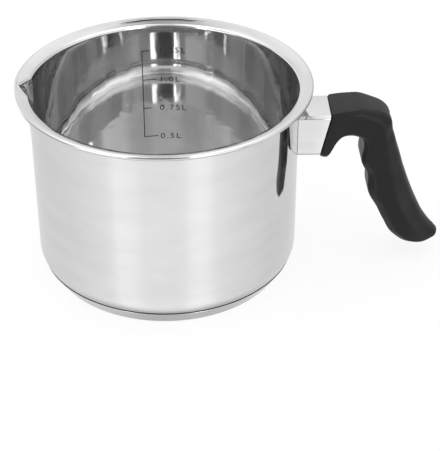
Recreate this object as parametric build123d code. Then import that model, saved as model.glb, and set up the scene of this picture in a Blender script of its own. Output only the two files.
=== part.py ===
from build123d import *
from math import cos, radians, sin, sqrt, tan
import os

# A 14 cm milk pan in millimetres. The pan's axis is Z, its base stands on z = 0,
# the handle points along +X and the pouring spout along -X. Slopes are in degrees.

# Pan body
body_radius = 70.0
pan_height = 107.9
rim_overhang = 7.2
body_sheet = 0.6
corner_radius = 10.4
neck_bend = 2.2
lip_curl = 1.0
flange_slope = 20.0
lip_turn = 190.0

# Pouring spout, a crease pressed into the wall and the rim
spout_depth = 3.4
spout_drop = 22.0
spout_slope = 62.0
spout_crease = 0.8

# Capsule base
cap_sheet = 0.5
core_thickness = 3.6
base_inset = 6.8
cap_height = 8.4
cap_bend = 1.2
core_rim_drop = 2.4
base_gap = 0.05

# Ferrule, a sleeve between the wall and the handle
ferrule_sheet = 0.8
ferrule_drop = 16.5
ferrule_height = 24.4
ferrule_width = 24.8
ferrule_foot_width = 21.4
ferrule_bevel = 1.4
ferrule_foot_round = 2.4
ferrule_length = 16.4
junction_lean = 12.8
wall_gap = 0.2

# Bracket welded to the wall inside the ferrule
bracket_sheet = 1.5
bracket_reach = 9.0
bracket_width = 12.8
bracket_foot = 3.0
bracket_height = 13.6
bracket_top_gap = 0.8
weld_gap = 0.1

# Handle screw with its nut and washers
screw_diameter = 5.0
screw_length = 33.5
screw_drop = 8.8
screw_gap = 0.15
head_diameter = 8.5
head_height = 3.3
slot_width = 1.2
slot_depth = 1.4
screw_tip_bevel = 0.7
nut_across_flats = 8.0
nut_thickness = 4.0
nut_bevel = 0.5
nut_gap = 0.05
screw_tip_reach = 0.8
washer_diameter = 8.8
washer_thickness = 1.0
spring_diameter = 8.4
spring_thickness = 1.2
spring_split = 0.9

# Handle
handle_reach = 63.8
handle_bottom = 7.8
handle_margin = 0.8
elbow_width = 23.6
grip_width = 21.2
top_bevel = 2.2
arch_bevel = 1.6
grip_bevel = 4.0
spigot_length = 3.0
spigot_root = 2.0
spigot_gap = 0.3
well_diameter = 9.4
bore_diameter = 5.5

# Length by which a cutting body runs past what it cuts
overrun = 20.0

# Stations along the handle, from the ferrule over the elbow down to the tip, each with a point on
# the inner side and one on the outer side. The first number is a share of the handle's reach from
# the ferrule. The second is a share of the height at the ferrule, or, below zero, of the drop from
# there down to the lowest point.
inner_shares = [
    (-0.130, -0.010), (-0.075, -0.010), (-0.015, -0.005), (0.015, 0.110), (0.040, 0.260),
    (0.095, 0.425), (0.175, 0.490), (0.235, 0.470), (0.275, 0.390), (0.290, 0.275),
    (0.290, 0.110), (0.295, -0.080), (0.310, -0.235), (0.355, -0.390), (0.425, -0.570),
    (0.498, -0.735), (0.580, -0.885), (0.705, -0.975), (0.830, -1.000), (0.935, -0.965),
]
outer_shares = [
    (-0.070, 0.975), (0.010, 1.000), (0.045, 1.010), (0.080, 1.020), (0.120, 1.030),
    (0.175, 1.040), (0.260, 1.060), (0.343, 0.992), (0.436, 0.892), (0.497, 0.785),
    (0.525, 0.525), (0.571, 0.145), (0.622, -0.130), (0.682, -0.315), (0.757, -0.525),
    (0.835, -0.710), (0.903, -0.830), (0.935, -0.860), (0.965, -0.885), (0.985, -0.915),
]
# Where along the reach the elbow has its width, where the grip has its own and where the
# rounding of the tip starts, and how much of a section's depth a bevel may take
elbow_share, grip_share, tip_share = 0.30, 0.52, 0.66
bevel_depth_share = 0.33

# Places worked out from the sizes above
half_sheet = body_sheet / 2
rim_radius = body_radius + rim_overhang
spout_reach = body_radius + spout_depth
base_radius = body_radius - base_inset
wall_middle = body_radius - half_sheet
corner_middle = corner_radius - half_sheet
floor_foot = cap_sheet + core_thickness + 2 * base_gap
floor_middle = floor_foot + half_sheet
slope_sin, slope_cos = sin(radians(flange_slope)), cos(radians(flange_slope))
lip_middle = rim_radius - half_sheet - lip_curl
lip_height = pan_height - half_sheet - lip_curl
flange_run = lip_middle - lip_curl * slope_sin - wall_middle - neck_bend * (1 - slope_sin)
neck_height = lip_height + (lip_curl - neck_bend) * slope_cos - flange_run * slope_sin / slope_cos
ferrule_top = pan_height - ferrule_drop
ferrule_foot = ferrule_top - ferrule_height
screw_height = ferrule_top - screw_drop
junction_x = body_radius + ferrule_length
handle_foot = ferrule_foot - handle_margin
handle_rise = ferrule_top + handle_margin - handle_foot
bridge_face = body_radius + bracket_reach
nut_face = bridge_face - bracket_sheet - nut_gap
screw_tip = nut_face - nut_thickness - screw_tip_reach
screw_seat = screw_tip + screw_length
standing = Align.CENTER, Align.CENTER, Align.MIN


def bar(radius, low, high):
    """A round bar on the pan's axis between two heights."""
    return Pos(0, 0, low) * Cylinder(radius, high - low, align=standing)


def screw_bar(radius, start, end):
    """A round bar on the screw's axis between two distances from the pan's axis."""
    across = Plane((start, 0, screw_height), x_dir=(0, 1, 0), z_dir=(1, 0, 0))
    return across * Cylinder(radius, end - start, align=standing)


def screw_ring(outer, inner, start, thickness):
    """A ring on the screw's axis."""
    ring = screw_bar(outer, start, start + thickness)
    return ring - screw_bar(inner, start - overrun, start + overrun)


def junction(shift=0):
    """The slanted plane where ferrule and handle meet, moved outwards along X by shift."""
    lean = radians(junction_lean)
    start = (junction_x + shift, 0, ferrule_top)
    return Plane(start, x_dir=(0, 1, 0), z_dir=(cos(lean), 0, -sin(lean)))


def skin(shift):
    """Half section of the pan's sheet, moved by shift to its outer side, from the floor to the lip."""
    corner_centre = (wall_middle - corner_middle, floor_middle + corner_middle)
    neck_centre = (wall_middle + neck_bend, neck_height)
    floor_line = Line((0, floor_middle - shift), (corner_centre[0], floor_middle - shift))
    corner = CenterArc(corner_centre, corner_middle + shift, -90, 90)
    neck = CenterArc(neck_centre, neck_bend - shift, 180, flange_slope - 90)
    lip = CenterArc((lip_middle, lip_height), lip_curl - shift, 90 + flange_slope, -lip_turn)
    return [floor_line, corner, Line(corner @ 1, neck @ 0), neck, Line(neck @ 1, lip @ 0), lip]


def spout_wedge(growth=0):
    """The spout's crease as a slanting bar of V section, larger all round by growth."""
    back = spout_reach - body_radius + overrun
    half_width = back * tan(radians(spout_slope))
    corners = [(-spout_reach, 0), (back - spout_reach, half_width), (back - spout_reach, -half_width)]
    section = make_face(Polyline(*corners, close=True))
    section = fillet(section.vertices().group_by(Axis.X)[0], spout_crease)
    if growth:
        section = offset(section, growth)
    fall = Vector(spout_reach - body_radius + body_sheet, 0, -spout_drop)
    start = Vector(0, 0, neck_height) - fall * (overrun / spout_drop)
    return extrude(Pos(*start) * section, 2 * overrun + spout_drop, dir=fall)


def make_pan_body():
    """Deep drawn steel shell with floor, wall, flared rim, rolled lip and pouring spout."""
    inside, outside = skin(-half_sheet), skin(half_sheet)
    ends = [Line(inside[0] @ 0, outside[0] @ 0), Line(inside[-1] @ 1, outside[-1] @ 1)]
    shell = revolve(Plane.XZ * make_face(inside + outside + ends), Axis.Z)
    neck_end, lip_start = outside[3] @ 1, inside[5] @ 0
    low = neck_height - spout_drop - overrun
    room = Polyline(
        (body_radius - body_sheet, low),
        (body_radius - body_sheet, neck_height),
        (neck_end.X, neck_end.Y),
        (lip_start.X, lip_start.Y - body_sheet),
        (lip_start.X, low),
        close=True,
    )
    crease = spout_wedge(body_sheet) & revolve(Plane.XZ * make_face(room), Axis.Z)
    return shell + crease - spout_wedge()


def floor_corner_radius(height):
    """Outer radius of the pan's rounded bottom corner at a height."""
    below_centre = floor_foot + corner_radius - height
    return body_radius - corner_radius + sqrt(corner_radius**2 - below_centre**2)


def pan_envelope():
    """The outside of the pan's floor and corner as a solid, larger by the gap to the base."""
    outline = skin(half_sheet)
    side = outline[1] @ 1
    wall = Line(side, (side.X, side.Y + overrun))
    top = Line(wall @ 1, (0, side.Y + overrun))
    axis_line = Line(top @ 1, outline[0] @ 0)
    solid = revolve(Plane.XZ * make_face([outline[0], outline[1], wall, top, axis_line]), Axis.Z)
    return Pos(0, 0, -base_gap) * solid


def capsule(inset):
    """The slanted cup shape of the base, smaller all round by inset."""
    rim = floor_corner_radius(cap_height) + base_gap + cap_sheet
    slope = (rim - base_radius) / cap_height
    side_inset = inset * sqrt(1 + slope**2)
    corners = [
        (0, inset), (base_radius + inset * slope - side_inset, inset),
        (rim - side_inset, cap_height), (0, cap_height),
    ]
    face = make_face(Polyline(*corners, close=True))
    foot_corner = face.vertices().group_by(Axis.Y)[0].sort_by(Axis.X)[-1]
    return revolve(Plane.XZ * fillet(foot_corner, cap_bend - inset), Axis.Z)


def make_base_cap():
    """Thin steel cap of the capsule base, wrapped up round the pan's corner."""
    return capsule(0) - capsule(cap_sheet) - pan_envelope()


def make_base_core():
    """Aluminium disc between the floor and the cap, which spreads the heat."""
    side_top = cap_height - core_rim_drop
    return capsule(cap_sheet + base_gap) - pan_envelope() - bar(body_radius, side_top, side_top + overrun)


def sleeve_section(inset):
    """The ferrule's outline seen along X, smaller all round by inset."""
    corners = [
        (-ferrule_foot_width / 2, ferrule_foot), (ferrule_foot_width / 2, ferrule_foot),
        (ferrule_width / 2, ferrule_top), (-ferrule_width / 2, ferrule_top),
    ]
    section = make_face(Polyline(*corners, close=True))
    section = fillet(section.vertices().group_by(Axis.Y)[0], ferrule_foot_round)
    section = chamfer(section.vertices().group_by(Axis.Y)[-1], ferrule_bevel)
    return offset(section, -inset) if inset else section


def sleeve_bar(inset):
    """A bar with the ferrule's section, from inside the pan to beyond the junction."""
    return extrude(Plane.YZ * sleeve_section(inset), junction_x + overrun)


def make_ferrule():
    """Polished steel sleeve between the wall and the handle."""
    sleeve = sleeve_bar(0) - sleeve_bar(ferrule_sheet) - bar(body_radius + wall_gap, 0, pan_height)
    sleeve = split(sleeve, bisect_by=junction(), keep=Keep.BOTTOM)
    return sleeve.solids().sort_by(Axis.X)[-1]


def make_handle_bracket():
    """Steel strip bent to a hat, with two feet that follow the wall and a bridge for the nut."""
    top = ferrule_top - ferrule_sheet - bracket_top_gap
    low = top - bracket_height
    feet_width = bracket_width + 2 * bracket_foot
    wall_face = body_radius + weld_gap
    block = Align.MIN, Align.CENTER, Align.MIN
    place = Pos(0, 0, low)
    feet = place * Box(bridge_face, feet_width, bracket_height, align=block)
    feet &= bar(wall_face + bracket_sheet, low, top)
    hat = place * Box(bridge_face, bracket_width, bracket_height, align=block)
    inner_width = bracket_width - 2 * bracket_sheet
    opening = place * Box(bridge_face - bracket_sheet, inner_width, bracket_height, align=block)
    strip = feet + hat - opening - bar(wall_face, low, top)
    return strip - screw_bar(screw_diameter / 2 + screw_gap, wall_face, bridge_face + overrun)


def make_bracket_nut():
    """Square weld nut on the inner side of the bracket's bridge."""
    size = nut_across_flats
    nut = Pos(nut_face - nut_thickness / 2, 0, screw_height) * Box(nut_thickness, size, size)
    nut = chamfer(nut.edges().filter_by(Axis.X), nut_bevel)
    return nut - screw_bar(screw_diameter / 2 + screw_gap, body_radius, nut_face + overrun)


def washer_seats():
    """Distances from the pan's axis where the washer, the spring ring and the screw's head sit."""
    washer = screw_seat - washer_thickness - spring_thickness
    return washer, washer + washer_thickness, screw_seat


def make_screw_washer():
    """Flat washer at the bottom of the handle's well."""
    start = washer_seats()[0]
    return screw_ring(washer_diameter / 2, screw_diameter / 2 + screw_gap, start, washer_thickness)


def make_spring_washer():
    """Split spring ring under the screw's head."""
    start = washer_seats()[1]
    ring = screw_ring(spring_diameter / 2, screw_diameter / 2 + screw_gap, start, spring_thickness)
    split_place = Pos(start, 0, screw_height)
    cut = Box(spring_thickness, spring_split, spring_diameter, align=(Align.MIN, Align.CENTER, Align.MIN))
    return ring - split_place * cut


def make_handle_screw():
    """Slotted cheese head screw that pulls the handle and the ferrule against the wall."""
    shank = screw_bar(screw_diameter / 2, screw_tip, screw_seat)
    shank = chamfer(shank.edges().sort_by(Axis.X)[0], screw_tip_bevel)
    screw = shank + screw_bar(head_diameter / 2, screw_seat, screw_seat + head_height)
    slot_place = Pos(screw_seat + head_height - slot_depth, 0, screw_height)
    slot_block = Align.MIN, Align.CENTER, Align.CENTER
    return screw - slot_place * Box(slot_depth, slot_width, head_diameter, align=slot_block)


def station_point(share):
    """Place of a station's point in the handle's middle plane."""
    along, height = share
    span = handle_rise if height > 0 else handle_foot - handle_bottom
    return Vector(junction_x + along * handle_reach, 0, handle_foot + height * span)


def blend(value, places, sizes):
    """A size that runs in straight steps through the sizes given at rising places."""
    for start, end, first, last in zip(places, places[1:], sizes, sizes[1:]):
        if value <= end:
            share = max(0, (value - start) / (end - start))
            return first + share * (last - first)
    return sizes[-1]


def handle_section(inner_share, outer_share):
    """Eight-sided section of the handle through a point of its inner and one of its outer side."""
    inner, outer = station_point(inner_share), station_point(outer_share)
    depth = (outer - inner).length
    across = (outer - inner).normalized()
    place = (inner_share[0] + outer_share[0]) / 2
    places = [0, elbow_share, grip_share]
    end_width = ferrule_width + 2 * handle_margin
    foot_width = ferrule_foot_width + 2 * handle_margin
    outer_half = blend(place, places, [end_width, elbow_width, grip_width]) / 2
    inner_half = blend(place, places, [foot_width, elbow_width, grip_width]) / 2
    rounding = max(0, (place - tip_share) / (1 - tip_share))
    shrink = sqrt(1 - rounding**2)
    bevel = blend(place, places, [top_bevel, top_bevel, grip_bevel]) * shrink
    inner_bevel = blend(place, places, [ferrule_foot_round, arch_bevel, grip_bevel]) * shrink
    bevel_depth, inner_bevel_depth = [min(size, depth * bevel_depth_share) for size in (bevel, inner_bevel)]
    rows = [
        (0, inner_half * shrink - inner_bevel), (inner_bevel_depth, inner_half * shrink),
        (depth - bevel_depth, outer_half * shrink), (depth, outer_half * shrink - bevel),
    ]
    right = [inner + across * along + Vector(0, half, 0) for along, half in rows]
    left = [inner + across * along - Vector(0, half, 0) for along, half in reversed(rows)]
    return make_face(Polyline(*right, *left, close=True))


def handle_body():
    """The handle's outer shape from the junction to the tip, without its holes."""
    stations = [handle_section(*pair) for pair in zip(inner_shares, outer_shares)]
    return split(loft(stations), bisect_by=junction(), keep=Keep.TOP)


def make_handle():
    """Phenolic handle in one piece, with the bore and the well for its screw."""
    spigot = sleeve_bar(ferrule_sheet + spigot_gap)
    spigot = split(spigot, bisect_by=junction(-spigot_length), keep=Keep.TOP)
    spigot = split(spigot, bisect_by=junction(spigot_root), keep=Keep.BOTTOM)
    handle = handle_body() + spigot
    handle -= screw_bar(bore_diameter / 2, body_radius, screw_seat)
    return handle - screw_bar(well_diameter / 2, washer_seats()[0], junction_x + handle_reach)


parts = {
    "pan_body": make_pan_body,
    "base_core": make_base_core,
    "base_cap": make_base_cap,
    "handle_bracket": make_handle_bracket,
    "bracket_nut": make_bracket_nut,
    "ferrule": make_ferrule,
    "handle": make_handle,
    "handle_screw": make_handle_screw,
    "screw_washer": make_screw_washer,
    "spring_washer": make_spring_washer,
}

os.makedirs("parts", exist_ok=True)
for name, make in parts.items():
    export_step(make(), f"parts/{name}.step")
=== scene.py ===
import bmesh
import bpy
import numpy as np
from mathutils import Euler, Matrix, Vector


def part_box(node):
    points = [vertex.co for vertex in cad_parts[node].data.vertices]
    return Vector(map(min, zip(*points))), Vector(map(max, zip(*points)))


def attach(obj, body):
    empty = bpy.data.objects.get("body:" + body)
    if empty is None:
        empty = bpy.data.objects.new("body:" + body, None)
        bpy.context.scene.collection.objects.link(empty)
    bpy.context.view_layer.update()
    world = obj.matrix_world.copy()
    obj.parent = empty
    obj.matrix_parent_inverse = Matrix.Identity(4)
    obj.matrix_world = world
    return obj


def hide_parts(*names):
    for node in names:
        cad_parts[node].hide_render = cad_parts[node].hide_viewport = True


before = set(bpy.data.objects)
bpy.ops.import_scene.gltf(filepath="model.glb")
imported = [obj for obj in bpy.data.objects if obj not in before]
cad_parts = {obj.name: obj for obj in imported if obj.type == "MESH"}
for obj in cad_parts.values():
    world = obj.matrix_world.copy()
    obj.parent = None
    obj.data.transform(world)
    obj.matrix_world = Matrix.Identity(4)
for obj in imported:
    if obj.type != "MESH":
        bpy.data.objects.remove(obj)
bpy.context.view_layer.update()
mm = 0.001  # sizes in the dictionaries are millimetres, every mesh is in metres
mergeDistance = 1e-7  # in metres
cornerReach = 0.46  # the most that a rounded corner takes of a side, as a share
noiseSpan = (0.3, 0.7)  # nearly all of a noise lies between these values
body = "root"
print("frame loaded:", len(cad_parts), "nodes")


# Geometry helpers

def arc(centre, radius, start, end, count):
    # Points on a circle about centre, from the angle start to end in degrees, as rows of (across, up)
    angles = np.radians(np.linspace(start, end, count))
    return np.stack([centre[0] + radius * np.cos(angles), centre[1] + radius * np.sin(angles)], axis=1)


def line(first, last, count=2):
    # Points on a straight line, both ends included
    share = np.linspace(0, 1, count)[:, None]
    return np.array(first) * (1 - share) + np.array(last) * share


def joinPaths(*paths):
    # One path of several, where each starts at the last point of the one before
    return np.concatenate([paths[0]] + [path[1:] for path in paths[1:]])


def revolve(profile, angles):
    # Rows follow the profile (r, z), columns the angles: (r cos a, r sin a, z)
    r, z = profile[:, 0:1], profile[:, 1:2]
    return np.stack([r * np.cos(angles), r * np.sin(angles), z * np.ones_like(angles)], axis=2)

def evenAngles(count):
    # Angles all round, in radians
    return np.linspace(0, 2 * np.pi, count, endpoint=False)

def unit(vectors):
    return vectors / np.linalg.norm(vectors, axis=-1, keepdims=True)


def roundRing(corners, radius, count):
    # A polygon (rows, corners, 3) with an arc in each corner. Each arc is centre + the two radii to its
    # ends mixed by sines, and takes at most cornerReach of the sides beside it.
    back, ahead = np.roll(corners, 1, axis=-2) - corners, np.roll(corners, -1, axis=-2) - corners
    toBack, toAhead = unit(back), unit(ahead)
    half = np.arccos(np.clip((toBack * toAhead).sum(-1), -1, 1)) / 2
    shortest = np.minimum(np.linalg.norm(back, axis=-1), np.linalg.norm(ahead, axis=-1))
    cut = np.minimum(radius / np.tan(half), cornerReach * shortest)
    centre = corners + unit(toBack + toAhead) * (cut / np.cos(half))[..., None]
    first = corners + toBack * cut[..., None] - centre
    last = corners + toAhead * cut[..., None] - centre
    turn = (np.pi - 2 * half)[..., None, None]
    share = np.linspace(0, 1, count)[:, None]
    fromFirst, fromLast = np.sin((1 - share) * turn), np.sin(share * turn)
    ring = (fromFirst * first[..., None, :] + fromLast * last[..., None, :]) / np.sin(turn)
    ring = ring + centre[..., None, :]
    return ring.reshape(*corners.shape[:-2], -1, 3)


def smoothAlong(values, places, wanted):
    # A smooth curve through the values: between two places a cubic whose end slopes are those of the
    # parabola through each value and its neighbours
    flat = values.reshape(len(values), -1)
    slopes = np.gradient(flat, places, axis=0, edge_order=2)
    index = np.clip(np.searchsorted(places, wanted, side="right") - 1, 0, len(places) - 2)
    step = (places[index + 1] - places[index])[:, None]
    share = (wanted - places[index])[:, None] / step
    first, last = flat[index], flat[index + 1]
    curve = (2 * share ** 3 - 3 * share ** 2 + 1) * first + (3 * share ** 2 - 2 * share ** 3) * last
    leaving = (share ** 3 - 2 * share ** 2 + share) * slopes[index]
    arriving = (share ** 3 - share ** 2) * slopes[index + 1]
    curve += step * (leaving + arriving)
    return curve.reshape(len(wanted), *values.shape[1:])


def addObject(name, data):
    added = bpy.data.objects.new(name, data)
    bpy.context.scene.collection.objects.link(added)
    return added


def weld(meshes, target):
    # Joins the meshes into the target, with doubles merged and faces pointing outwards
    work = bmesh.new()
    for mesh in meshes:
        work.from_mesh(mesh)
    bmesh.ops.remove_doubles(work, verts=work.verts, dist=mergeDistance)
    bmesh.ops.recalc_face_normals(work, faces=work.faces)
    work.to_mesh(target)
    work.free()


def evaluatedMesh(source):
    # A new mesh of the object, with its modifiers or its lettering made real
    return bpy.data.meshes.new_from_object(source.evaluated_get(bpy.context.evaluated_depsgraph_get()))


def surface(name, grid, closed=True, marks=None, sharp=None):
    # A mesh of the grid of points in mm (rows, columns, 3). Columns close round to the first one, and
    # rows too where closed is true. Points that fall together, as at a pole, become one. marks holds a
    # value for each point, kept as the attribute mark.
    rows, columns = grid.shape[:2]
    index = np.arange(rows * columns).reshape(rows, columns)
    right = np.roll(index, -1, axis=1)
    quads = np.stack([index, right, np.roll(right, -1, axis=0), np.roll(index, -1, axis=0)], axis=2)
    quads = (quads if closed else quads[:-1]).reshape(-1, 4)
    mesh = bpy.data.meshes.new(name)
    mesh.vertices.add(rows * columns)
    mesh.vertices.foreach_set("co", (grid * mm).astype(np.float32).ravel())
    mesh.loops.add(quads.size)
    mesh.loops.foreach_set("vertex_index", quads.astype(np.int32).ravel())
    mesh.polygons.add(len(quads))
    mesh.polygons.foreach_set("loop_start", np.arange(0, quads.size, 4, dtype=np.int32))
    mesh.update(calc_edges=True)
    mesh.validate()
    if marks is not None:
        attribute = mesh.attributes.new("mark", "FLOAT", "POINT")
        attribute.data.foreach_set("value", marks.astype(np.float32).ravel())
    weld([mesh], mesh)
    mesh.shade_smooth()
    if sharp:
        mesh.set_sharp_from_angle(angle=np.radians(sharp))
    return addObject(name, mesh)


def cutAway(piece, cutter, sharp):
    # Takes the cutter out of the piece and throws the cutter away
    modifier = piece.modifiers.new("cut", "BOOLEAN")
    modifier.operation = "DIFFERENCE"
    modifier.object = cutter
    modifier.solver = "EXACT"
    old = piece.data
    mesh = evaluatedMesh(piece)
    mesh.name = old.name
    piece.modifiers.clear()
    piece.data = mesh
    mesh.shade_smooth()
    mesh.set_sharp_from_angle(angle=np.radians(sharp))
    bpy.data.meshes.remove(old)
    bpy.data.objects.remove(cutter)


def finishPiece(piece, material, slot, *nodes):
    # Gives the piece its material, its ride and the nodes that it stands for
    piece.data.materials.clear()
    piece.data.materials.append(material)
    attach(piece, body)
    if nodes:
        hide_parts(*nodes)
    print("piece:", piece.name, len(piece.data.polygons), "faces")


# Material helpers

def linear(hexColor, alpha=1.0):
    # sRGB hex to the linear values that a shader takes
    values = np.array([int(hexColor[i:i + 2], 16) for i in (1, 3, 5)]) / 255
    low, high = values / 12.92, ((values + 0.055) / 1.055) ** 2.4
    return (*np.where(values <= 0.04045, low, high), alpha)


def addNode(tree, kind, settings=None, **inputs):
    # Adds a node, sets its own settings, and sets or links each input by its name, or by iN for its number
    node = tree.nodes.new(kind)
    for key, value in (settings or {}).items():
        setattr(node, key, value)
    for key, value in inputs.items():
        byNumber = key[0] == "i" and key[1:].isdigit()
        socket = node.inputs[int(key[1:])] if byNumber else node.inputs[key.replace("_", " ")]
        if isinstance(value, bpy.types.NodeSocket):
            tree.links.new(value, socket)
        else:
            socket.default_value = value
    return node


def newMaterial(name):
    material = bpy.data.materials.new(name)
    material.use_nodes = True
    material.node_tree.nodes.clear()
    return material, material.node_tree
def mathNode(tree, operation, *values, kind="ShaderNodeMath"):
    inputs = {f"i{number}": value for number, value in enumerate(values)}
    return addNode(tree, kind, {"operation": operation}, **inputs).outputs[0]


def vectorNode(tree, operation, *values):
    return mathNode(tree, operation, *values, kind="ShaderNodeVectorMath")


def remap(tree, value, span, target=(0.0, 1.0), settings=None):
    # The value's span mapped to the target, held at both ends
    ends = dict(zip(("From_Min", "From_Max", "To_Min", "To_Max"), (*span, *target)))
    return addNode(tree, "ShaderNodeMapRange", settings, Value=value, **ends).outputs[0]


def noise(tree, place, scale, detail, rough, distortion=0.0):
    return addNode(
        tree, "ShaderNodeTexNoise", Vector=place, Scale=scale, Detail=detail, Roughness=rough,
        Distortion=distortion,
    ).outputs["Fac"]


def bump(tree, height, depth, **inputs):
    # Bends the normal by a height from 0 to 1 that is depth mm at most
    return addNode(
        tree, "ShaderNodeBump", Strength=1.0, Distance=depth * mm, Height=height, **inputs
    ).outputs[0]


def mixColors(tree, share, first, second):
    return addNode(
        tree, "ShaderNodeMix", {"data_type": "RGBA"}, Factor=share, i6=first, i7=second
    ).outputs[2]


def mixShaders(tree, share, first, second):
    return addNode(tree, "ShaderNodeMixShader", Fac=share, i1=first, i2=second).outputs[0]


def metal(tree, tone, rough, normal, **inputs):
    return addNode(
        tree, "ShaderNodeBsdfPrincipled", Base_Color=tone, Metallic=1.0, Roughness=rough, Normal=normal,
        **inputs,
    ).outputs[0]


def smearedMetal(tree, places, tone, rough, smear, normal):
    # Metal with fine lines round the pan, which draw its reflections out across them
    return metal(
        tree, linear(tone), rough, normal, Anisotropic=smear, Anisotropic_Rotation=0.25,
        Tangent=places["around"],
    )


def markedShare(tree):
    return addNode(tree, "ShaderNodeAttribute", {"attribute_name": "mark"}).outputs["Fac"]


def placeInMm(tree):
    place = addNode(tree, "ShaderNodeTexCoord").outputs["Object"]
    return addNode(tree, "ShaderNodeVectorMath", {"operation": "SCALE"}, i0=place, Scale=1 / mm).outputs[0]


def turningPlaces(tree):
    # Object coordinates in mm, and what a turned or drawn round part needs: the unit vector outwards from
    # the pan's axis, the one round it, the radius, and the way along the section (radius + height)
    inMm = placeInMm(tree)
    flat = vectorNode(tree, "MULTIPLY", inMm, (1, 1, 0))
    outward = vectorNode(tree, "NORMALIZE", flat)
    radius = addNode(tree, "ShaderNodeVectorMath", {"operation": "LENGTH"}, i0=flat).outputs["Value"]
    height = addNode(tree, "ShaderNodeSeparateXYZ", Vector=inMm).outputs[2]
    return {
        "mm": inMm, "outward": outward, "around": vectorNode(tree, "CROSS_PRODUCT", (0, 0, 1), outward),
        "radius": radius, "height": height, "along": mathNode(tree, "ADD", radius, height),
    }


# Camera, from the photograph

camera = {
    "place": (6.844, -632.106, 442.198), "turn": (56.09, 0, -2), "sensor": 36, "lens": 110.09, "near": 10,
}
cameraData = bpy.data.cameras.new("camera")
cameraData.sensor_fit = "AUTO"
cameraData.sensor_width = camera["sensor"]
cameraData.lens = camera["lens"]
cameraData.clip_start = camera["near"] * mm
cameraObject = addObject("camera", cameraData)
cameraObject.location = [value * mm for value in camera["place"]]
cameraObject.rotation_euler = Euler(np.radians(camera["turn"]))
bpy.context.scene.camera = cameraObject
print("camera placed")


# Materials

polish = {
    # Polishing lines: how many a mm, how they waver round the pan, how deep they are
    "lines": 0.9, "lineWaver": (5, 5, 0), "lineDepth": 0.0004,
    # Waves left by the drawing: how many a mm along X, Y and Z, how deep they are
    "waves": (0.11, 0.11, 0.016), "waveDepth": 0.12,
    # Faint clouds: how many a mm along X, Y and Z, the part of the noise they use, their tones
    "clouds": (0.026, 0.026, 0.1), "cloudSpan": (0.32, 0.68), "tones": ("#d1d1d1", "#d7d7d7"),
    "smudges": 0.03, "rough": (0.02, 0.05),
    # Smeared light: its tone, roughness and smear, and its share
    "veil": ("#e6e6e6", 0.5, 0.95), "veilShare": (0.01, 0.06),
    "satin": ("#d4d4d4", 0.285, 1.0), "satinShare": 0.258,
}


def polishedSteel():
    # Stainless steel, deep drawn and mirror polished on a turning mop: a clear reflection with a slight
    # wave from the drawing, a thin veil of light smeared across the polishing lines, and faint wipe marks
    material, tree = newMaterial("mirror polished stainless steel")
    places = turningPlaces(tree)
    # The lines run round the pan 1.1 mm apart. Real ones are closer, and would not show
    down = mathNode(tree, "MULTIPLY", places["along"], polish["lines"])
    down = addNode(tree, "ShaderNodeCombineXYZ", Z=down).outputs[0]
    lineWay = vectorNode(tree, "MULTIPLY_ADD", places["outward"], polish["lineWaver"], down)
    lines = noise(tree, lineWay, 1.0, 3.0, 0.6)
    # The waves stand upright, about 9 mm apart round the wall
    waves = noise(tree, vectorNode(tree, "MULTIPLY", places["mm"], polish["waves"]), 1.0, 1.0, 0.4)
    smudges = noise(tree, places["mm"], polish["smudges"], 4.0, 0.6, 0.6)
    drawn = bump(tree, waves, polish["waveDepth"])
    lined = bump(tree, lines, polish["lineDepth"], Normal=drawn)
    # The clouds are about 40 mm long round the wall and 10 mm high
    clouds = noise(tree, vectorNode(tree, "MULTIPLY", places["mm"], polish["clouds"]), 1.0, 3.0, 0.5, 0.4)
    tones = [linear(hexColor) for hexColor in polish["tones"]]
    tone = mixColors(tree, remap(tree, clouds, polish["cloudSpan"]), *tones)
    mirror = metal(tree, tone, remap(tree, smudges, noiseSpan, polish["rough"]), lined)
    veil = smearedMetal(tree, places, *polish["veil"], drawn)
    mixed = mixShaders(tree, remap(tree, smudges, noiseSpan, polish["veilShare"]), mirror, veil)
    # Where the surface is marked, round the spout, a quarter of satin is mixed in. The pan has no such
    # finish: without it the renderer's denoiser leaves speckle there
    satin = smearedMetal(tree, places, *polish["satin"], drawn)
    satinShare = mathNode(tree, "MULTIPLY", markedShare(tree), polish["satinShare"])
    addNode(tree, "ShaderNodeOutputMaterial", Surface=mixShaders(tree, satinShare, mixed, satin))
    return material


turning = {
    # Turning rings: how far apart, how deep with their unevenness, their part in it, how they waver
    "ringGap": 0.9, "depth": 0.02, "ringShare": 0.12, "waver": (3, 3, 0), "uneven": 1.3,
    # The turned face fades into the polished slope between these heights
    "face": (0.1, 0.7),
    "smudges": 0.04, "tone": "#d4d4d4", "rough": (0.04, 0.1),
    # Fans of light: tone, roughness and smear, and their share on the slope and on the face
    "fans": ("#d6d6d6", 0.42, 0.97), "fanShare": (0.22, 0.9),
}


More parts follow.
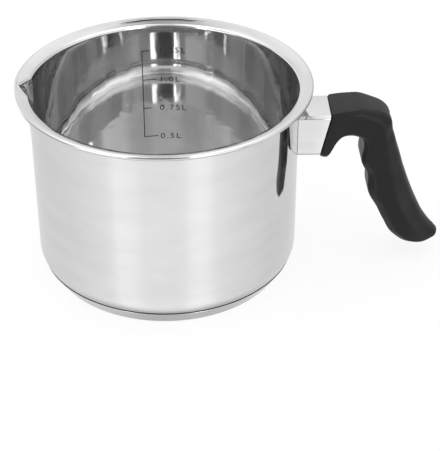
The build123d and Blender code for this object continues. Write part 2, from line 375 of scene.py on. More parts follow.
def turnedSteel():
    # The base cap, stainless steel turned on its flat face and polished on its slope: the fine rings
    # spread each lamp into a fan of light from the middle, the slope mirrors
    material, tree = newMaterial("turned stainless steel base")
    places = turningPlaces(tree)
    rings = mathNode(tree, "MULTIPLY", places["radius"], 2 * np.pi / turning["ringGap"])
    rings = mathNode(tree, "SINE", rings)
    ringWay = addNode(tree, "ShaderNodeCombineXYZ", Z=places["radius"]).outputs[0]
    ringWay = vectorNode(tree, "MULTIPLY_ADD", places["outward"], turning["waver"], ringWay)
    uneven = noise(tree, ringWay, turning["uneven"], 4.0, 0.7)
    face = remap(tree, places["height"], turning["face"], (1.0, 0.0))
    depth = mathNode(tree, "MULTIPLY_ADD", rings, turning["ringShare"], uneven)
    grooved = bump(tree, mathNode(tree, "MULTIPLY", depth, face), turning["depth"])
    smudges = noise(tree, places["mm"], turning["smudges"], 4.0, 0.6)
    rough = remap(tree, smudges, noiseSpan, turning["rough"])
    mirror = metal(tree, linear(turning["tone"]), rough, grooved)
    fans = smearedMetal(tree, places, *turning["fans"], grooved)
    share = remap(tree, face, (0.0, 1.0), turning["fanShare"])
    addNode(tree, "ShaderNodeOutputMaterial", Surface=mixShaders(tree, share, mirror, fans))
    return material


moulding = {
    "grain": 1.6, "grainDepth": 0.012, "clouds": 0.09, "tones": ("#191919", "#212121"),
    # Rubbed edges: the part of the clouds that sets how much, how much, and their tone
    "wearSpan": (0.35, 0.65), "wear": (0.1, 0.9), "wornTone": "#2e2e2e",
    "rough": (0.38, 0.3), "specular": 0.195,
}


def blackPhenolic():
    # Phenolic resin, hot pressed in a satin mould: nearly black, an even soft shine with a fine grain, and
    # edges, which are marked, rubbed a little smoother and greyer by hands
    material, tree = newMaterial("moulded black phenolic")
    inMm = placeInMm(tree)
    grain = noise(tree, inMm, moulding["grain"], 3.0, 0.6)
    clouds = noise(tree, inMm, moulding["clouds"], 4.0, 0.6)
    worn = remap(tree, clouds, moulding["wearSpan"], moulding["wear"])
    worn = mathNode(tree, "MULTIPLY", markedShare(tree), worn)
    tones = [linear(hexColor) for hexColor in moulding["tones"]]
    tone = mixColors(tree, worn, mixColors(tree, clouds, *tones), linear(moulding["wornTone"]))
    shader = addNode(
        tree, "ShaderNodeBsdfPrincipled", Base_Color=tone,
        Roughness=remap(tree, worn, (0.0, 1.0), moulding["rough"]),
        Specular_IOR_Level=moulding["specular"], Normal=bump(tree, grain, moulding["grainDepth"]),
    )
    addNode(tree, "ShaderNodeOutputMaterial", Surface=shader.outputs[0])
    return material


# Metals seen only through gaps or from behind, the etched mark, and a dark sheet of painted shade for the
# shadowed gap at the base cap's edge: colours, metallic, roughness from and to, grain in mm along X, Y and Z,
# and how deep the grain is in mm
finishes = {
    "zinc plated steel": {  # bright zinc over turned steel: a cool, slightly cloudy shine
        "colors": ("#a9adb2", "#c2c5c8"), "metallic": 1.0, "rough": (0.2, 0.38),
        "grain": (3, 0.5, 0.5), "depth": 0.004,
    },
    "pressed stainless steel": {  # mill finish strip: dull, with drawing marks along the strip
        "colors": ("#8f8f8f", "#adadab"), "metallic": 1.0, "rough": (0.3, 0.5),
        "grain": (1, 6, 0.4), "depth": 0.006,
    },
    "rolled aluminium": {  # rolled disc: pale and dull, with rolling lines
        "colors": ("#b9bcbe", "#d3d5d6"), "metallic": 1.0, "rough": (0.35, 0.5),
        "grain": (20, 0.6, 2), "depth": 0.005,
    },
    "etched steel oxide": {  # electrolytic marking: a matt dark grey oxide, slightly speckled
        "colors": ("#1f1f21", "#3c3c3e"), "metallic": 0.0, "rough": (0.45, 0.65),
        "grain": (0.4, 0.4, 0.4), "depth": 0.002,
    },
    "painted gap shade": {  # painted shade for the shadowed gap at the cap's edge: dark, rough
        "colors": ("#1c1b1a", "#343230"), "metallic": 0.0, "rough": (0.5, 0.7),
        "grain": (0.6, 0.6, 0.3), "depth": 0.01,
    },
}


def grainyFinish(name):
    # A plain finish from the table: two colours and two roughnesses mixed by one stretched noise
    finish = finishes[name]
    material, tree = newMaterial(name)
    place = addNode(tree, "ShaderNodeTexCoord").outputs["Object"]
    stretch = [1 / (size * mm) for size in finish["grain"]]
    place = addNode(tree, "ShaderNodeMapping", Vector=place, Scale=stretch).outputs[0]
    grain = noise(tree, place, 1.0, 4.0, 0.6)
    spread = remap(tree, grain, noiseSpan)
    shader = addNode(
        tree, "ShaderNodeBsdfPrincipled",
        Base_Color=mixColors(tree, spread, *[linear(hexColor) for hexColor in finish["colors"]]),
        Metallic=finish["metallic"], Roughness=remap(tree, spread, (0.0, 1.0), finish["rough"]),
        Normal=bump(tree, grain, finish["depth"]),
    )
    addNode(tree, "ShaderNodeOutputMaterial", Surface=shader.outputs[0])
    return material


steel = polishedSteel()
baseSteel = turnedSteel()
phenolic = blackPhenolic()
# The last of these is no metal but painted shade, dark, for the gap at the base cap's edge
zincSteel, plainSteel, aluminium, etched, gapShade = [grainyFinish(name) for name in finishes]
print("materials ready")


# Pan body

pan = {
    "wallRadius": 70.0, "sheet": 0.6, "cornerRadius": 10.4, "neckBend": 2.2, "lipCurl": 1.0,
    "flangeSlope": 20, "flangeDish": 0.13, "lipTurn": 190, "rimInset": 0.02,
    # Rolling marks round the flange: place from the neck (0) to the lip (1), width as a share, depth
    "flangeGrooves": ((0.36, 0.04, 0.012), (0.8, 0.04, 0.02)),
    "spoutAngle": 180.3, "spoutDepth": 4.5, "spoutHalfAngle": 8.0, "spoutTipAngle": 0.5,
    "spoutDrop": 23.0, "spoutPower": 1.1, "spoutRise": 0.3,
    # Angles between which the inner side is marked, and how far past the flat floor's edge it starts
    "marked": (158, 206), "markStart": 0.01,
    # Points along the section, and round the pan with those crowded in about the spout
    "floorPoints": 10, "cornerPoints": 22, "wallPoints": 30, "neckPoints": 12, "lipPoints": 18,
    "flangePoints": {"top": 57, "under": 41}, "columns": 360, "crowd": 4, "crowdAngle": 12,
}
panLow, panHigh = [np.array(corner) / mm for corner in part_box("pan_body")]
rimRadius, panTop, panFoot = panHigh[1] - pan["rimInset"], panHigh[2], panLow[2]
halfSheet = pan["sheet"] / 2
wallMiddle = pan["wallRadius"] - halfSheet
wallInside = pan["wallRadius"] - pan["sheet"]
cornerMiddle = pan["cornerRadius"] - halfSheet
floorMiddle = panFoot + halfSheet
slope = np.radians(pan["flangeSlope"])
lipMiddle = rimRadius - halfSheet - pan["lipCurl"]
lipHeight = panTop - halfSheet - pan["lipCurl"]
bendGap = pan["neckBend"] * (1 - np.sin(slope))
flangeRun = lipMiddle - pan["lipCurl"] * np.sin(slope) - wallMiddle - bendGap
neckHeight = lipHeight + (pan["lipCurl"] - pan["neckBend"]) * np.cos(slope) - flangeRun * np.tan(slope)


def panSide(shift, flangePoints):
    # The sheet's middle line moved by shift to its outer side: floor, corner arc, wall, neck arc,
    # sloping flange and the rolled lip's arc, as (r, z)
    cornerCentre = (wallMiddle - cornerMiddle, floorMiddle + cornerMiddle)
    neckCentre = (wallMiddle + pan["neckBend"], neckHeight)
    corner = arc(cornerCentre, cornerMiddle + shift, -90, 0, pan["cornerPoints"])
    lipStart = 90 + pan["flangeSlope"]
    lipEnd = lipStart - pan["lipTurn"]
    neck = arc(neckCentre, pan["neckBend"] - shift, 180, lipStart, pan["neckPoints"])
    lip = arc((lipMiddle, lipHeight), pan["lipCurl"] - shift, lipStart, lipEnd, pan["lipPoints"])
    flange = line(neck[-1], lip[0], flangePoints)
    share = np.linspace(0, 1, flangePoints)
    flange[:, 1] += pan["flangeDish"] * 4 * share * (1 - share)
    for place, width, depth in pan["flangeGrooves"]:
        flange[:, 1] -= depth * np.exp(-((share - place) / width) ** 2)
    floor = line((0, floorMiddle - shift), corner[0], pan["floorPoints"])
    return joinPaths(floor, corner, line(corner[-1], neck[0], pan["wallPoints"]), neck, flange, lip)


def spoutColumns(count):
    # Angles round the pan, 1 + crowd times as close together at the spout as elsewhere
    even = np.linspace(0, 2 * np.pi, 4001)
    nearness = np.exp(-(np.abs(even - np.pi) / np.radians(pan["crowdAngle"])) ** 2)
    density = 1 + pan["crowd"] * nearness
    total = np.concatenate([[0], np.cumsum((density[1:] + density[:-1]) / 2)])
    return np.interp(np.arange(count) / count * total[-1], total, even)


def pressSpout(profile, grid, angles):
    # Each point moves outwards from the axis by depth x height x across, and up by spoutRise of that.
    # across is (1 - away / half angle) ^ power, where away is the angle from the spout, rounded off
    # within the tip angle. height rises over the last stretch of wall and fades from neck to lip.
    away = np.abs(np.degrees(angles) - pan["spoutAngle"])
    tip = pan["spoutTipAngle"]
    away = np.sqrt(away ** 2 + tip ** 2) - tip
    across = np.clip(1 - away / pan["spoutHalfAngle"], 0, None) ** pan["spoutPower"]
    height = np.clip((profile[:, 1] - neckHeight + pan["spoutDrop"]) / pan["spoutDrop"], 0, 1)
    neckEnd = wallMiddle + bendGap
    flange = np.clip((profile[:, 0] - neckEnd) / (lipMiddle - neckEnd), 0, 1)
    amount = pan["spoutDepth"] * (height * (1 - flange))[:, None] * across[None, :]
    outward = np.stack([np.cos(angles), np.sin(angles), np.full_like(angles, pan["spoutRise"])], axis=1)
    moved = amount[:, :, None] * outward[None, :, :]
    moved[:, :, 2] *= (1 - flange)[:, None]
    return grid + moved


def makePanBody():
    inner = panSide(-halfSheet, pan["flangePoints"]["top"])
    outer = panSide(halfSheet, pan["flangePoints"]["under"])[::-1]
    profile = np.concatenate([inner, outer])
    angles = spoutColumns(pan["columns"])
    grid = pressSpout(profile, revolve(profile, angles), angles)
    # Marked: the sheet's inner side round the spout, from the flat floor's edge up to the neck
    low, high = np.radians(pan["marked"])
    floorEdge = wallMiddle - cornerMiddle + pan["markStart"]
    upright = (profile[:, 0] > floorEdge) & (profile[:, 1] < neckHeight)
    innerSide = upright & (np.arange(len(profile)) < len(inner))
    inside = innerSide[:, None] & (angles > low) & (angles < high)
    finishPiece(surface("panBody", grid, closed=False, marks=inside), steel, "polished_steel", "pan_body")


makePanBody()


# Capsule base

base = {
    "sheet": 0.5, "gap": 0.05, "footInset": 6.8, "height": 8.4, "bend": 1.2, "columns": 256,
    # The cap's upper edge: its width, how far in its outer point lies and how far down its inner one
    "lip": 0.16, "lipIn": 0.04, "lipDown": 0.03,
    # The ring of painted shade in the gap: its radius, its middle's height over the cap and way out from the
    # corner, its points
    "gapShade": 0.3, "gapShadeRise": 0.1, "gapShadeOut": 0.12, "gapShadePoints": 12,
    "bottomPoints": 24, "bendPoints": 9, "sidePoints": 12,
}


def cornerRadiusAt(height):
    # Outer radius of the pan's rounded corner at a height
    below = panFoot + pan["cornerRadius"] - height
    return pan["wallRadius"] - pan["cornerRadius"] + np.sqrt(pan["cornerRadius"] ** 2 - below ** 2)


def capSide(inset):
    # Half section of the slanted cup, moved inwards by inset: bottom, bent foot, slanted side
    foot = pan["wallRadius"] - base["footInset"]
    rim = cornerRadiusAt(base["height"]) + base["gap"] + base["sheet"]
    lean = np.arctan2(rim - foot, base["height"])
    bend = base["bend"] - inset
    reach = bend * np.tan((np.pi / 2 - lean) / 2)
    footCorner = foot - inset * np.tan((np.pi / 2 - lean) / 2)
    centre = (footCorner - reach, inset + bend)
    top = (rim - inset / np.cos(lean), base["height"])
    bent = arc(centre, bend, -90, -np.degrees(lean), base["bendPoints"])
    bottom = line((0, inset), bent[0], base["bottomPoints"])
    return joinPaths(bottom, bent, line(bent[-1], top, base["sidePoints"]))


def makeBaseCap():
    outside, inside = capSide(0), capSide(base["sheet"])
    (r, z), back = outside[-1], inside[-1]
    lip = np.array([[r - base["lipIn"], z - base["lip"]], [r - base["lip"], z - base["lipDown"]], back])
    profile = np.concatenate([outside[:-1], lip, inside[:-1][::-1]])
    cap = surface("baseCap", revolve(profile, evenAngles(base["columns"])), closed=False)
    finishPiece(cap, baseSteel, "turned_steel", "base_cap")


def makeGapShade():
    # A ring of round section between the cap's edge and the pan's corner, dark: painted shade that stands in
    # for the shadow in the gap there
    height = base["height"] + base["gapShadeRise"]
    centre = (cornerRadiusAt(height) + base["gapShadeOut"], height)
    ring = arc(centre, base["gapShade"], 0, 360, base["gapShadePoints"] + 1)[:-1]
    finishPiece(surface("paintedGapShade", revolve(ring, evenAngles(base["columns"]))), gapShade, "plain_steel")


makeBaseCap()
makeGapShade()


# Ferrule

ferrule = {
    "top": 91.4, "foot": 67.0, "width": 24.8, "footWidth": 21.4, "bevel": 1.4, "footRound": 2.4,
    "sheet": 0.8, "wallRadius": 70.05, "junction": 86.4, "lean": 11.8, "crease": 0.5, "lip": 0.2,
    "endGap": 0.2, "leastRound": 0.05, "arcPoints": 9,
}
leanTan = np.tan(np.radians(ferrule["lean"]))


def junctionX(height, shift=0.0):
    # Where the slanted plane between ferrule and handle lies at a height
    return ferrule["junction"] + shift + (height - ferrule["top"]) * leanTan


def sleeveRing(inset):
    # The sleeve's outline seen along X, inset to its inner side: two round foot corners and two
    # bevelled top corners with narrow creases
    top, foot = ferrule["top"], ferrule["foot"]
    half, footHalf, bevel = ferrule["width"] / 2, ferrule["footWidth"] / 2, ferrule["bevel"]
    sideStep = bevel * (half - footHalf) / (top - foot)
    right = [(footHalf, foot), (half - sideStep, top - bevel), (half - bevel, top)]
    corners = np.array(right + [(-y, z) for y, z in reversed(right)])
    toBack = unit(np.roll(corners, 1, axis=0) - corners)
    toAhead = unit(np.roll(corners, -1, axis=0) - corners)
    half = np.arccos((toBack * toAhead).sum(-1)) / 2
    corners = corners + unit(toBack + toAhead) * (inset / np.sin(half))[:, None]
    radii = np.array([ferrule["footRound"]] + 4 * [ferrule["crease"]] + [ferrule["footRound"]])
    flat = np.concatenate([np.zeros((6, 1)), corners], axis=1)
    ring = roundRing(flat, np.maximum(radii - inset, ferrule["leastRound"]), ferrule["arcPoints"])
    return ring[:, 1], ring[:, 2]


def makeFerrule():
    # Rows of (inset, distance from the wall end, distance from the junction end) round the sheet
    sheet, lip = ferrule["sheet"], ferrule["lip"]
    turn = np.radians([0, 30, 60, 90])
    wallEnd = [(lip * (1 - np.sin(a)), lip * (1 - np.cos(a)), None) for a in turn]
    endLip = [(lip * (1 - np.cos(a)), None, lip * (1 - np.sin(a))) for a in turn]
    rows = []
    for inset, fromWall, fromEnd in [(sheet, 0, None)] + wallEnd + endLip + [(sheet, None, 0)]:
        y, z = sleeveRing(inset)
        wall = np.sqrt(ferrule["wallRadius"] ** 2 - y ** 2)
        x = wall + fromWall if fromEnd is None else junctionX(z) - fromEnd - ferrule["endGap"]
        rows.append(np.stack([x, y, z], axis=1))
    finishPiece(surface("ferruleSleeve", np.array(rows)), steel, "polished_steel", "ferrule")


makeFerrule()


# Handle

handle = {
    # Inner x, inner z, outer x, outer z of each section, from the ferrule over the elbow to the tip
    "stations": [
        (85.4, 65.8, 89.4, 92.6), (87.2, 69.0, 91.6, 93.0),
        (89.0, 73.0, 94.0, 93.3), (92.4, 77.2, 97.5, 93.6),
        (97.6, 78.6, 103.0, 94.1), (101.2, 77.8, 108.8, 92.7), (103.4, 75.8, 114.9, 90.2),
        (104.3, 73.2, 118.2, 86.8), (104.4, 69.0, 119.8, 79.8), (103.8, 64.5, 121.6, 74.2),
        (103.9, 61.5, 122.7, 70.2), (105.3, 58.0, 124.1, 66.2), (107.0, 55.0, 125.4, 62.2),
        (107.8, 52.0, 126.5, 58.5), (108.1, 49.0, 127.7, 54.6), (108.1, 46.0, 129.0, 51.0),
        (108.4, 43.0, 130.2, 47.6), (109.5, 39.6, 131.7, 43.7), (113.4, 32.8, 135.0, 35.9),
        (117.9, 23.6, 140.0, 25.4), (123.5, 14.3, 144.5, 18.6), (131.0, 8.6, 146.4, 16.4),
        (138.8, 7.1, 147.9, 14.7), (145.7, 9.5, 148.95, 12.9),
    ],
    "reach": 63.8, "elbow": 0.30, "grip": 0.52, "tip": 0.66, "margin": 0.8,
    "elbowWidth": 23.6, "gripWidth": 21.2, "topBevel": 2.2, "archBevel": 1.6, "gripBevel": 4.0,
    # Bevels on the outer side at places along the reach, and the most of the depth that they take
    "bevelPlaces": (0.17, 0.33, 0.41, 0.58), "outerBevel": (2.2, 3.8, 4.0, 6.2), "bevelDepth": 0.33,
    "spigot": 3.0, "spigotInset": 1.9, "endRound": 0.35, "endGap": 0.2, "rows": 150, "arcPoints": 7,
    # Rounding of the edges on the inner and on the outer side, from the ferrule to the grip
    "roundPlaces": (0.16, 0.24, 0.40, 0.56), "innerRound": (0.7, 1.2, 1.9, 2.6),
    "outerRound": (0.6, 3.4, 4.4, 10.0),
    # The rounded tip: its radius, the steps of its turn, how far its middle and its shoulder stand out
    "tipRound": 0.8, "tipTurns": (20, 40, 60, 80, 90), "tipCrown": 0.15, "tipShoulder": 0.04,
    "sharp": 38,
}
screw = {
    "height": 82.6, "seat": 106.15, "washerStart": 103.95, "well": 9.4, "bore": 5.5,
    "head": 8.5, "headHeight": 3.3, "slot": 1.2, "slotDepth": 1.4, "shank": 5.0, "tip": 72.65, "round": 0.5,
    "tipChamfer": 0.7, "edgeBreak": 0.15, "roundPoints": 6, "columns": 64, "sharp": 35,
    # How far the cutters reach: the bore's start and the well's end, and past the head
    "boreStart": 70, "wellEnd": 150, "clearance": 1,
}


def sectionCorners(inner, outer, innerHalf, outerHalf, innerBevel, outerBevel):
    # Eight corners about the line from the inner to the outer point: (rows, 8, 3)
    across = outer - inner
    depth = np.linalg.norm(across, axis=1)
    across = across / depth[:, None]
    zero = np.zeros_like(depth)
    deep = [np.minimum(bevel, depth * handle["bevelDepth"]) for bevel in (innerBevel, outerBevel)]
    along = np.stack([zero, deep[0], depth - deep[1], depth], axis=1)
    half = np.stack([innerHalf - innerBevel, innerHalf, outerHalf, outerHalf - outerBevel], axis=1)
    along = np.concatenate([along, along[:, ::-1]], axis=1)
    half = np.concatenate([half, -half[:, ::-1]], axis=1)
    start, way = np.insert(inner, 1, 0, axis=1), np.insert(across, 1, 0, axis=1)
    side = np.array([0, 1, 0])
    return start[:, None, :] + way[:, None, :] * along[..., None] + side * half[..., None]


def junctionSection(inset, shift):
    # The handle's section in the junction plane, inset from the handle's own outline
    margin = handle["margin"]
    heights = np.array([ferrule["foot"] - margin + inset, ferrule["top"] + margin - inset])
    x = junctionX(heights, shift)
    inner, outer = np.array([[x[0], heights[0]]]), np.array([[x[1], heights[1]]])
    grow = margin - inset
    widths = ferrule["footWidth"] / 2 + grow, ferrule["width"] / 2 + grow
    sizes = *widths, ferrule["footRound"], handle["topBevel"]
    return sectionCorners(inner, outer, *[np.array([size]) for size in sizes])


def makeHandle():
    stations = np.array(handle["stations"])
    inner, outer = stations[:, :2], stations[:, 2:]
    place = ((inner[:, 0] + outer[:, 0]) / 2 - ferrule["junction"]) / handle["reach"]
    places = [0, handle["elbow"], handle["grip"]]
    endHalf = ferrule["width"] / 2 + handle["margin"]
    footHalf = ferrule["footWidth"] / 2 + handle["margin"]
    elbowHalf, gripHalf = handle["elbowWidth"] / 2, handle["gripWidth"] / 2
    shrink = np.sqrt(1 - np.clip((place - handle["tip"]) / (1 - handle["tip"]), 0, 1) ** 2)
    corners = sectionCorners(
        inner, outer,
        np.interp(place, places, [footHalf, elbowHalf, gripHalf]) * shrink,
        np.interp(place, places, [endHalf, elbowHalf, gripHalf]) * shrink,
        np.interp(place, places, [ferrule["footRound"], handle["archBevel"], handle["gripBevel"]]) * shrink,
        np.interp(place, handle["bevelPlaces"], handle["outerBevel"]) * shrink,
    )
    corners = np.concatenate([junctionSection(0, handle["endRound"] + handle["endGap"]), corners])
    middle = corners.mean(axis=1)
    chord = np.concatenate([[0], np.cumsum(np.linalg.norm(np.diff(middle, axis=0), axis=1))])
    wanted = np.linspace(0, chord[-1] - handle["tipRound"], handle["rows"])
    rows = smoothAlong(corners, chord, wanted)
    # Corners 2 to 5 are on the outer side
    rowPlace = np.interp(wanted, chord[1:], place)
    innerRound = np.interp(rowPlace, handle["roundPlaces"], handle["innerRound"])
    outerRound = np.interp(rowPlace, handle["roundPlaces"], handle["outerRound"])
    radius = np.stack([outerRound if 2 <= corner <= 5 else innerRound for corner in range(8)], axis=1)
    rings = roundRing(rows, radius, handle["arcPoints"])
    inset, spigotInset = junctionSection(handle["endRound"], handle["endGap"]), handle["spigotInset"]
    ends = np.concatenate([
        junctionSection(spigotInset, -handle["spigot"]),
        junctionSection(spigotInset, handle["endGap"]), inset,
    ])
    endRings = roundRing(ends, np.full((3, 8), handle["innerRound"][0]), handle["arcPoints"])
    # The tip is rounded over: its last ring shrinks as 1 - cos and moves on as sin
    last, centre = rings[-1], rings[-1].mean(axis=0)
    onward = unit(centre - rings[-4].mean(axis=0))
    turn = np.radians(handle["tipTurns"])[:, None, None]
    inward = unit(centre - last)
    over = handle["tipRound"]
    tips = last + over * (1 - np.cos(turn)) * inward + over * np.sin(turn) * onward
    final = tips[-1].mean(axis=0) + handle["tipCrown"] * onward
    shoulder = (tips[-1:] + final) / 2 + handle["tipShoulder"] * onward
    tips = np.concatenate([tips, shoulder, np.broadcast_to(final, (1, *last.shape))])
    start = np.broadcast_to(endRings[0].mean(axis=0), (1, *last.shape))
    grid = np.concatenate([start, endRings, rings, tips])
    share = np.linspace(-1, 1, handle["arcPoints"])
    edge = np.broadcast_to(np.tile(1 - share ** 2, 8), grid.shape[:2])
    return surface("handleMoulding", grid, closed=False, marks=edge)


def screwBar(name, profile):
    # A solid turned on the screw's axis, from a profile of (r, x)
    grid = revolve(np.array(profile, dtype=float), evenAngles(screw["columns"]))
    grid = np.stack([grid[..., 2], grid[..., 0], grid[..., 1] + screw["height"]], axis=2)
    return surface(name, grid, closed=False, sharp=screw["sharp"])


def makeHandleWithWell():
    piece = makeHandle()
    start, bottom, end = screw["boreStart"], screw["washerStart"], screw["wellEnd"]
    bore, well = screw["bore"] / 2, screw["well"] / 2
    outline = [(0, start), (bore, start), (bore, bottom), (well, bottom), (well, end), (0, end)]
    cutAway(piece, screwBar("well", outline), handle["sharp"])
    finishPiece(piece, phenolic, "black_phenolic", "handle")


def makeScrew():
    # Cheese head with a rounded top edge, slotted across, on a plain shank
    head, top, seat = screw["head"] / 2, screw["seat"] + screw["headHeight"], screw["seat"]
    bend = screw["round"]
    rounded = arc((top - bend, head - bend), bend, 90, 0, screw["roundPoints"])[:, ::-1]
    shank, tip, chamfer, edge = screw["shank"] / 2, screw["tip"], screw["tipChamfer"], screw["edgeBreak"]
    start = [
        (0, tip), (shank - chamfer, tip), (shank, tip + chamfer), (shank, seat), (head - edge, seat),
        (head, seat + edge),
    ]
    piece = screwBar("cheeseHeadScrew", start + rounded.tolist() + [(0, top)])
    clear = screw["clearance"]
    half, bottom, reach = screw["slot"] / 2, top - screw["slotDepth"], head + clear
    corners = np.array([(-reach, -half), (reach, -half), (reach, half), (-reach, half)])
    rings = [
        np.insert(corners * size, 0, x, axis=1)
        for size, x in [(0, bottom), (1, bottom), (1, top + clear), (0, top + clear)]
    ]
    grid = np.array(rings) + np.array([0, 0, screw["height"]])
    cutAway(piece, surface("slot", grid, closed=False), screw["sharp"])
    finishPiece(piece, zincSteel, "zinc_steel", "handle_screw")


makeHandleWithWell()
makeScrew()


# Litre scale, etched into the inner wall opposite the camera

scale = {
    "angle": 100.8, "heights": (34.8, 53.6, 72.0, 90.3), "words": ("0.5L", "0.75L", "1.0L", "1.25L"),
    "long": 8.3, "short": 4.7, "line": 0.5, "wordGap": 1.2, "wordHeight": 3.3, "stretch": 1.2,
    "spacing": 1.25, "proud": 0.03, "extrude": 0.01, "barPoints": 9, "sharp": 30,
}


def wrapOnWall(points):
    # Flat points (across, up, depth) laid round the inner wall, depth towards the axis
    angle = np.radians(scale["angle"]) - points[:, 0] / wallInside
    r = wallInside - points[:, 2]
    return np.stack([r * np.cos(angle), r * np.sin(angle), points[:, 1]], axis=1)


def scaleBar(left, low, right, high, count):
    # A thin bar as a closed grid: its four long edges run from left to right, closed at both ends
    across = np.linspace(left, right, count)
    across = np.concatenate([[left], across, [right]])
    proud = scale["proud"]
    edges = np.array([(low, 0), (high, 0), (high, proud), (low, proud)])
    grid = np.zeros((len(across), 4, 3))
    grid[..., 0] = across[:, None]
    grid[..., 1:] = edges
    grid[[0, -1], :, 1:] = edges.mean(axis=0)
    return wrapOnWall(grid.reshape(-1, 3)).reshape(grid.shape)


def scaleWord(text, height):
    # A word in the built-in font, made a mesh and then wrapped round the wall
    curve = bpy.data.curves.new(text, "FONT")
    curve.body = text
    curve.size = 1
    curve.space_character = scale["spacing"]
    curve.extrude = scale["extrude"]
    holder = addObject(text, curve)
    mesh = evaluatedMesh(holder)
    bpy.data.objects.remove(holder)
    bpy.data.curves.remove(curve)
    points = np.empty(len(mesh.vertices) * 3, dtype=np.float32)
    mesh.vertices.foreach_get("co", points)
    points = points.reshape(-1, 3).astype(float)
    size = scale["wordHeight"] / points[:, 1].max()
    proud = (points[:, 2] > 0) * scale["proud"]
    across = scale["long"] + scale["wordGap"] + points[:, 0] * size * scale["stretch"]
    up = height + (points[:, 1] * size - scale["wordHeight"] / 2)
    placed = wrapOnWall(np.stack([across, up, proud], axis=1)) * mm
    mesh.vertices.foreach_set("co", placed.astype(np.float32).ravel())
    mesh.update()
    return mesh


def makeScale():
    half = scale["line"] / 2
    heights = scale["heights"]
    bars = [scaleBar(0, heights[0] - half, scale["line"], heights[-1] + half, 2)]
    for index, height in enumerate(heights):
        reach = scale["long"] if index % 2 == 0 else scale["short"]
        bars.append(scaleBar(scale["line"], height - half, reach, height + half, scale["barPoints"]))
    pieces = [
        surface(f"bar{index}", bar, closed=False, sharp=scale["sharp"]) for index, bar in enumerate(bars)
    ]
    words = [scaleWord(word, height) for word, height in zip(scale["words"], heights)]
    mesh = bpy.data.meshes.new("litreScale")
    weld([piece.data for piece in pieces] + words, mesh)
    for piece in pieces:
        bpy.data.objects.remove(piece)
    finishPiece(addObject("litreScale", mesh), etched, "plain_steel")


makeScale()

for nodeName, material in [
    ("base_core", aluminium), ("handle_bracket", plainSteel), ("bracket_nut", zincSteel),
    ("screw_washer", zincSteel), ("spring_washer", zincSteel),
]:
    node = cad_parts[nodeName]
    node.data.materials.clear()
    node.data.materials.append(material)
print("hidden pieces finished")


# Studio

floorLevels = [
    (-180, 0.62), (-168, 0.78), (-126, 0.88), (-90, 0.96), (-63, 1.04), (-51, 1.11), (-42, 1.26), (-30, 1.24),
    (-18, 1.14), (3, 1.12), (14, 1.14), (22, 1.24), (31, 1.26), (38, 1.19), (46, 1.09), (58, 1.03),
    (71, 0.98), (84, 0.93), (99, 0.88), (142, 0.85), (168, 0.78), (180, 0.62),
]
studio = {
    # Light that the metal mirrors, by height above the floor in degrees: a list of (degrees round from
    # the camera towards the handle, level). The camera's own side is dark, with a lamp strip on each side
    # of it; two broad soft boxes hang left and right, and the ceiling is dark towards the back. The
    # levels were set so that the wall's streaks fall where the photograph has them.
    "levels": [
        # Below the horizon: the white floor's sheen, even straight down and brightest in front
        (-84, [(-180, 0.62), (180, 0.62)]),
        (-70, [
            (-180, 0.55), (-150, 0.58), (-114, 0.60), (-90, 0.66), (-60, 0.80), (-30, 0.95), (30, 0.95),
            (60, 0.80), (90, 0.62), (114, 0.56), (150, 0.56), (180, 0.55),
        ]),
        (-44, floorLevels),
        (-26, floorLevels),
        # Low over the floor, seen by the base from below: sectors that the turned rings draw out into fans
        (-10, [
            (-180, 0.40), (-158, 0.40), (-148, 1.90), (-126, 1.90), (-116, 0.40), (-74, 0.40), (-64, 1.90),
            (-42, 1.90), (-32, 0.50), (18, 0.50), (28, 1.90), (50, 1.90), (60, 0.40), (66, 1.20),
            (86, 1.20), (94, 0.40), (180, 0.40),
        ]),
        (10, [
            (-180, 0.95), (-135, 1.20), (-112, 1.30), (-100, 0.40), (-66, 0.35), (-60, 1.50), (-39, 2.60),
            (-30, 2.60), (-26, 0.50), (-10, 0.30), (10, 0.30), (15, 0.60), (21, 2.60), (29, 2.60), (35, 1.30),
            (75, 1.10), (110, 0.85), (135, 0.90), (180, 0.95),
        ]),
        (27, [
            (-180, 1.05), (-172, 1.05), (-165, 1.10), (-155, 1.00), (-145, 0.85), (-120, 0.95), (-105, 1.40),
            (-65, 1.60), (-56, 0.70), (-45, 0.80), (-41, 1.00), (-39, 7.20), (-31, 7.20), (-29, 1.00),
            (-24, 0.20), (-10, 0.10), (10, 0.10), (16, 0.35), (21, 7.00), (29, 7.00), (33, 0.90), (45, 0.80),
            (56, 0.80), (65, 1.35), (105, 1.00), (120, 0.85), (145, 0.85), (155, 1.00), (165, 1.10),
            (172, 1.05), (180, 1.05),
        ]),
        (40, [
            (-180, 1.35), (-150, 1.15), (-135, 1.15), (-100, 1.35), (-60, 1.30), (-45, 1.00), (-39, 2.20),
            (-31, 2.20), (-24, 0.80), (-10, 0.60), (6, 0.60), (14, 1.20), (33, 1.30), (45, 1.60),
            (90, 1.15), (120, 0.95), (150, 1.15), (180, 1.35),
        ]),
        (62, [
            (-180, 0.85), (-150, 1.10), (-135, 1.35), (-110, 1.90), (-70, 2.20), (-40, 2.20), (-20, 1.40),
            (-10, 0.80), (3, 0.70), (8, 1.00), (20, 1.15), (33, 1.25), (42, 2.60), (75, 2.40), (120, 1.90),
            (140, 1.30), (160, 1.20), (180, 0.85),
        ]),
        (80, [
            (-180, 0.38), (-140, 0.42), (-110, 1.20), (-80, 2.10), (-55, 1.50), (-40, 0.90), (0, 1.40),
            (40, 1.60), (55, 1.80), (90, 2.10), (120, 1.30), (140, 0.45), (180, 0.38),
        ]),
    ],
    # A dark boom over the backdrop: half its width round from the back, its lower and upper edge, the
    # width of its soft ends and the share of its half height that is fully dark
    "boom": {"halfWidth": 15, "low": 59.5, "high": 69, "soft": 2, "core": 0.4, "level": 0.02},
    "mostLevel": 7.5,
    "plain": 0.9,
    "floorSize": 1500,
    # The floor as the camera sees it: how much of it takes a shadow, and its level with none
    "floorShade": 0.22, "floorLevel": 1.02,
    "paper": "#e8e8e8",
}


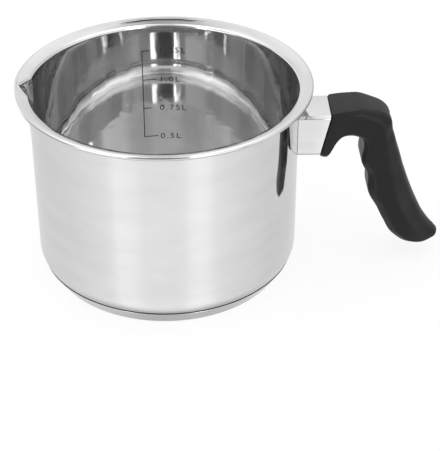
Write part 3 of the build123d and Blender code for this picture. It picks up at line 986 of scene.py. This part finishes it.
def levelRound(tree, share, stops):
    # The level all round at one height: straight steps between the stops
    node = addNode(tree, "ShaderNodeValToRGB", Fac=share)
    elements = node.color_ramp.elements
    while len(elements) < len(stops):
        elements.new(0.5)
    for element, (place, level) in zip(elements, stops):
        grey = level / studio["mostLevel"]
        element.position = (place + 180) / 360
        element.color = (grey, grey, grey, 1)
    return node.outputs[0]


def makeWorld():
    # Metal mirrors the studio by direction, matt surfaces get a plain even light, the camera sees white
    world = bpy.data.worlds.new("studio")
    bpy.context.scene.world = world
    world.use_nodes = True
    world.cycles.sampling_method = "NONE"
    tree = world.node_tree
    tree.nodes.clear()
    way = addNode(tree, "ShaderNodeTexCoord").outputs["Generated"]
    parts = addNode(tree, "ShaderNodeSeparateXYZ", Vector=way).outputs
    turn = mathNode(tree, "ARCTAN2", parts[0], mathNode(tree, "MULTIPLY", parts[1], -1.0))
    share = remap(tree, turn, (-np.pi, np.pi))
    height = mathNode(tree, "ARCSINE", parts[2])
    heights = [np.radians(level[0]) for level in studio["levels"]]
    mirrored = levelRound(tree, share, studio["levels"][0][1])
    for low, high, (_, stops) in zip(heights, heights[1:], studio["levels"][1:]):
        rise = remap(tree, height, (low, high))
        mirrored = mixColors(tree, rise, mirrored, levelRound(tree, share, stops))
    boom = studio["boom"]
    smooth = {"interpolation_type": "SMOOTHSTEP"}
    start = 180 - boom["halfWidth"]
    ends = np.radians([start, start + boom["soft"]])
    across = remap(tree, mathNode(tree, "ABSOLUTE", turn), ends, settings=smooth)
    middle, half = np.radians([(boom["high"] + boom["low"]) / 2, (boom["high"] - boom["low"]) / 2])
    off = mathNode(tree, "ABSOLUTE", mathNode(tree, "SUBTRACT", height, middle))
    within = remap(tree, off, (half * boom["core"], half), (1.0, 0.0), smooth)
    grey = boom["level"] / studio["mostLevel"]
    shaded = mathNode(tree, "MULTIPLY", across, within)
    mirrored = mixColors(tree, shaded, mirrored, (grey, grey, grey, 1))
    mirrored = mathNode(tree, "MULTIPLY", mirrored, studio["mostLevel"])
    rays = addNode(tree, "ShaderNodeLightPath")
    light = addNode(
        tree, "ShaderNodeMix", Factor=rays.outputs["Is Glossy Ray"], i2=studio["plain"], i3=mirrored
    )
    seen = addNode(tree, "ShaderNodeMix", Factor=rays.outputs["Is Camera Ray"], i2=light.outputs[0], i3=1.0)
    background = addNode(tree, "ShaderNodeBackground", Color=(1, 1, 1, 1), Strength=seen.outputs[0])
    addNode(tree, "ShaderNodeOutputWorld", Surface=background.outputs[0])


def makeFloor():
    size = studio["floorSize"] * mm
    mesh = bpy.data.meshes.new("floor")
    corners = [(-size, -size, 0), (size, -size, 0), (size, size, 0), (-size, size, 0)]
    mesh.from_pydata(corners, [], [(0, 1, 2, 3)])
    floor = addObject("floor", mesh)
    # The camera sees near white with a faint shadow, matt surfaces get light from a pale sheet, and
    # mirrored rays go on to the world, which holds the floor's own sheen below its horizon. From below it
    # is clear.
    material, tree = newMaterial("white floor")
    rays = addNode(tree, "ShaderNodeLightPath")
    paper = addNode(tree, "ShaderNodeBsdfDiffuse", Color=linear(studio["paper"]))
    shade = studio["floorShade"]
    faint = addNode(tree, "ShaderNodeBsdfDiffuse", Color=(shade, shade, shade, 1))
    strength = studio["floorLevel"] - shade * studio["plain"]
    glow = addNode(tree, "ShaderNodeEmission", Color=(1, 1, 1, 1), Strength=strength)
    shown = addNode(tree, "ShaderNodeAddShader", i0=faint.outputs[0], i1=glow.outputs[0])
    mixed = mixShaders(tree, rays.outputs["Is Camera Ray"], paper.outputs[0], shown.outputs[0])
    clear = addNode(tree, "ShaderNodeBsdfTransparent")
    below = addNode(tree, "ShaderNodeNewGeometry").outputs["Backfacing"]
    through = mathNode(tree, "MAXIMUM", rays.outputs["Is Glossy Ray"], below)
    mixed = mixShaders(tree, through, mixed, clear.outputs[0])
    addNode(tree, "ShaderNodeOutputMaterial", Surface=mixed)
    mesh.materials.append(material)


makeWorld()
makeFloor()
print("studio ready")

bpy.context.scene.view_settings.view_transform = "Standard"
bpy.context.scene.cycles.glossy_bounces = 16
bpy.context.scene.cycles.max_bounces = 16
